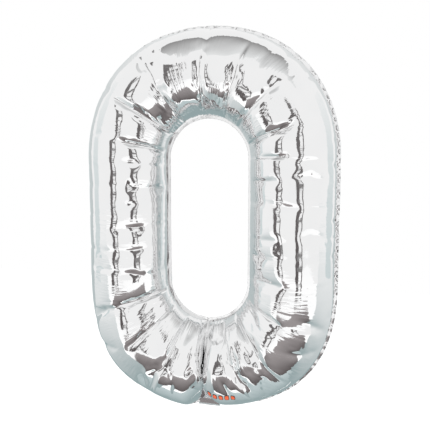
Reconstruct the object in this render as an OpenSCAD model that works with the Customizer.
// Foil number balloon, numeral 0, inflated.
//
// Two foil sheets, front and back, are heat-sealed to each other along the outer
// edge and round the hole of the numeral. A flat self-sealing valve of two films
// lies between them at the bottom centre and runs out through the neck into a
// tail. The gas holds the sheets apart as a round tube. At the neck the valve
// keeps the sheets together, so the tube is pinched there by a crease.
//
// Millimetres, +Z up, the front face looks along -Y. The origin is where a ribbon
// is tied: on the fold line between the neck and the tail.

/* [Numeral] */
// Width of the inflated numeral across its outer seams
overall_w = 562; // [540:2:600]
// Height of the inflated numeral across its outer seams
overall_h = 824; // [780:2:900]
// Diameter of the gas-filled tube
tube_d = 184; // [170:2:190]
// Width of the heat-sealed margins, outside and round the hole
seam_w = 6; // [5:1:9]

/* [Pinch] */
// Half width of the crease on the crest of the tube
crease_half_w = 15; // [10:1:22]
// Height of the crease's floor over the middle plane
crease_floor = 34; // [25:1:60]
// Depth of the notch that the crease leaves in both edges
notch_depth = 11; // [6:1:16]
// Half width of that notch
notch_half_w = 13; // [9:1:17]

/* [Neck and tail] */
// Length of the neck between the outer seam and the fold line
neck_h = 8; // [6:1:14]
// Width of the neck and the tail
tail_w = 48; // [44:2:60]
// Length of the tail beyond the fold line
tail_l = 82; // [70:2:90]
// Width of the heat-sealed side edges of the tail
tail_edge_w = 3; // [2:0.5:4]
// Radius of the ribbon hole in the tail
tie_hole_r = 3; // [2:0.5:3]

/* [Valve] */
// Width of the two valve films
film_w = 24; // [20:2:26]
// Length of the valve inside the balloon
film_in_l = 115; // [90:5:130]
// Width of each side weld of the valve
film_weld_w = 3; // [2:0.5:5]

/* [Print] */
// Width of one patch of the print on the front
patch_side = 10; // [5:1:11]
// Height of one patch of the print
patch_h = 15; // [5:1:16]
// Patches in the printed row
patch_count = 5; // [3:1:6]

/* [Hidden] */
$fn = 96;
// Thicknesses stand in for a foil of 0.03 mm and films of 0.05 mm.
foil_t = 1.2;
ply_t = 0.6;
film_t = 0.4;
weld_t = 0.2;
print_t = 0.3;
film_half = film_t + weld_t / 2;
seam_half = film_half + ply_t;
seam_lap = 3;
fold_gap = 1.1;
over = 5;

tube_r = tube_d / 2;
centre_r = overall_w / 2 - seam_w - tube_r;
straight = overall_h - overall_w;
outer_r = centre_r + tube_r;
hole_r = centre_r - tube_r;
neck_edge_z = seam_half + fold_gap;
ring_z = neck_edge_z + neck_h + overall_h / 2;
outer_y = straight / 2 + outer_r;
hole_y = straight / 2 + hole_r;
neck_y = neck_edge_z - ring_z;

patch_pitch = 13;
print_x = 46;
print_angle = 41;

tie_x = (film_w + tail_w - 2 * tail_edge_w) / 4;
tie_y = tail_l - 14;

foil_silver = [0.80, 0.83, 0.84];
seam_silver = [0.70, 0.74, 0.75];
film_clear = [0.86, 0.90, 0.92];
weld_white = [0.95, 0.96, 0.97];
print_orange = [0.90, 0.38, 0.16];
barrier_blue = [0.35, 0.50, 0.66];

// Stands up a shape that is drawn lying: its +Y becomes up, its +Z the front.
module stand() {
    translate([0, 0, ring_z]) rotate([90, 0, 0]) children();
}

// The face behind is the face in front, mirrored through the middle plane.
module behind() {
    mirror([0, 1, 0]) children();
}

// Outline of the numeral at a given end radius.
module stadium(r) {
    for (end = [-1, 1]) translate([0, end * straight / 2]) circle(r = r);
    square([2 * r, straight], center = true);
}

// Half of the tube's section, from a little under the middle plane upwards.
module half_section(r, low) {
    intersection() {
        circle(r = r);
        translate([-r - over, low]) square([2 * (r + over), r + over]);
    }
}

// Solid half of the whole ring, lying, above the plane z = low.
module half_ring(r, low) {
    for (end = [0, 180])
        rotate([0, 0, end])
            translate([0, straight / 2, 0])
                rotate_extrude(angle = 180) translate([centre_r, 0]) half_section(r, low);
    for (side = [-1, 1])
        translate([side * centre_r, straight / 2, 0])
            rotate([90, 0, 0]) linear_extrude(straight) half_section(r, low);
}

// A V of half width w and depth d that opens upwards from its tip at y = 0,
// with its flanks moved outwards by grow.
module vee(w, d, grow) {
    half_angle = atan(w / d);
    tip = -grow / sin(half_angle);
    high = d + over;
    spread = (high - tip) * tan(half_angle);
    polygon([[0, tip], [spread, high], [-spread, high]]);
}

// What the pinch takes off the ring at the bottom centre: a crease over the crest
// and a notch in each edge.
module pinch(grow) {
    translate([0, -hole_y + over, crease_floor])
        rotate([90, 0, 0])
            linear_extrude(outer_y - hole_y + 2 * over)
                vee(crease_half_w, tube_r - crease_floor, grow);
    translate([0, -outer_y + notch_depth, -over])
        mirror([0, 1, 0]) linear_extrude(tube_r + 2 * over) vee(notch_half_w, notch_depth, grow);
    translate([0, -hole_y - notch_depth, -over])
        linear_extrude(tube_r + 2 * over) vee(notch_half_w, notch_depth, grow);
}

// One foil sheet as inflated, lying, above the seam.
module blown_sheet() {
    difference() {
        difference() {
            half_ring(tube_r, seam_half);
            pinch(0);
        }
        difference() {
            half_ring(tube_r - foil_t, -over);
            pinch(foil_t);
        }
    }
}

module front_foil() {
    color(foil_silver) stand() blown_sheet();
}

module back_foil() {
    color(foil_silver) behind() stand() blown_sheet();
}

// A flat margin as thick as the two sheets and the valve between them.
module margin() {
    translate([0, 0, -seam_half]) linear_extrude(2 * seam_half) children();
}

// The outer margin, with the neck, and a slot that the valve fills.
module outer_seam() {
    reach = notch_depth + seam_lap;
    notch_w = 2 * (notch_half_w + seam_lap);
    color(seam_silver) stand() difference() {
        margin() {
            difference() {
                stadium(outer_r + seam_w);
                stadium(outer_r - seam_lap);
            }
            translate([-tail_w / 2, neck_y]) square([tail_w, neck_h + 2 * seam_w]);
            translate([-notch_w / 2, -outer_y]) square([notch_w, reach + seam_lap]);
        }
        translate([-film_w / 2, neck_y - over, -film_half])
            cube([film_w, 2 * reach + neck_h + over, 2 * film_half]);
    }
}

// The margin round the hole, widened where the crease runs into it.
module hole_seam() {
    color(seam_silver) stand() margin() {
        difference() {
            stadium(hole_r + seam_lap);
            stadium(hole_r - seam_w);
        }
        translate([-notch_half_w - seam_lap, -hole_y - notch_depth - 2 * seam_lap])
            square([2 * (notch_half_w + seam_lap), notch_depth + 2 * seam_lap]);
    }
}

// A strip of the valve, lying, between two widths and two heights.
module valve_strip(x0, x1, z0, z1) {
    translate([x0, neck_y, z0]) cube([x1 - x0, film_in_l + neck_h, z1 - z0]);
}

module valve_front_film() {
    color(film_clear) stand() valve_strip(-film_w / 2, film_w / 2, weld_t / 2, film_half);
}

module valve_back_film() {
    color(film_clear) stand() valve_strip(-film_w / 2, film_w / 2, -film_half, -weld_t / 2);
}

// The two welds that join the films along their sides and leave a channel.
module valve_edge_welds() {
    color(weld_white) stand() for (side = [-1, 1])
        translate([side * (film_w - film_weld_w) / 2, 0, 0])
            valve_strip(-film_weld_w / 2, film_weld_w / 2, -weld_t / 2, weld_t / 2);
}

// The printed layer in the channel that keeps the seam's heat from closing it.
module heat_barrier() {
    clear_w = film_w - 2 * film_weld_w;
    color(barrier_blue) stand()
        translate([-clear_w / 2, neck_y, -weld_t / 2])
            cube([clear_w, neck_h + seam_w + seam_lap, weld_t]);
}

// A plain row of ink patches on the front, low on the right of the crease.
module print_patches() {
    row_l = (patch_count - 1) * patch_pitch;
    color(print_orange) stand() intersection() {
        difference() {
            half_ring(tube_r + print_t, seam_half);
            half_ring(tube_r, -over);
        }
        for (i = [0 : patch_count - 1])
            translate([print_x - row_l / 2 + i * patch_pitch, -straight / 2 - centre_r, 0])
                rotate([print_angle, 0, 0])
                    translate([-patch_side / 2, -patch_h / 2, 0])
                        cube([patch_side, patch_h, tube_r + over]);
    }
}

// A layer of the tail, folded back, between two widths and two heights.
module tail_strip(x0, x1, z0, z1) {
    translate([x0, 0, z0]) cube([x1 - x0, tail_l, z1 - z0]);
}

module tail_ply(z0) {
    difference() {
        tail_strip(-tail_w / 2, tail_w / 2, z0, z0 + ply_t);
        translate([tie_x, tie_y, z0 - over]) cylinder(r = tie_hole_r, h = ply_t + 2 * over);
    }
}

// Folded back, the front sheet's ply lies underneath.
module tail_front_foil() {
    color(foil_silver) tail_ply(-seam_half);
}

module tail_back_foil() {
    color(foil_silver) tail_ply(film_half);
}

module tail_front_film() {
    color(film_clear) tail_strip(-film_w / 2, film_w / 2, -film_half, -weld_t / 2);
}

module tail_back_film() {
    color(film_clear) tail_strip(-film_w / 2, film_w / 2, weld_t / 2, film_half);
}

// The tail's two foil plies are sealed to each other along both sides.
module tail_edge_welds() {
    color(seam_silver) for (x = [-tail_w / 2, tail_w / 2 - tail_edge_w])
        tail_strip(x, x + tail_edge_w, -film_half, film_half);
}

module tail_film_welds() {
    color(weld_white) for (x = [-film_w / 2, film_w / 2 - film_weld_w])
        tail_strip(x, x + film_weld_w, -weld_t / 2, weld_t / 2);
}

front_foil();
back_foil();
outer_seam();
hole_seam();
valve_front_film();
valve_back_film();
valve_edge_welds();
heat_barrier();
print_patches();
tail_front_foil();
tail_back_foil();
tail_front_film();
tail_back_film();
tail_edge_welds();
tail_film_welds();
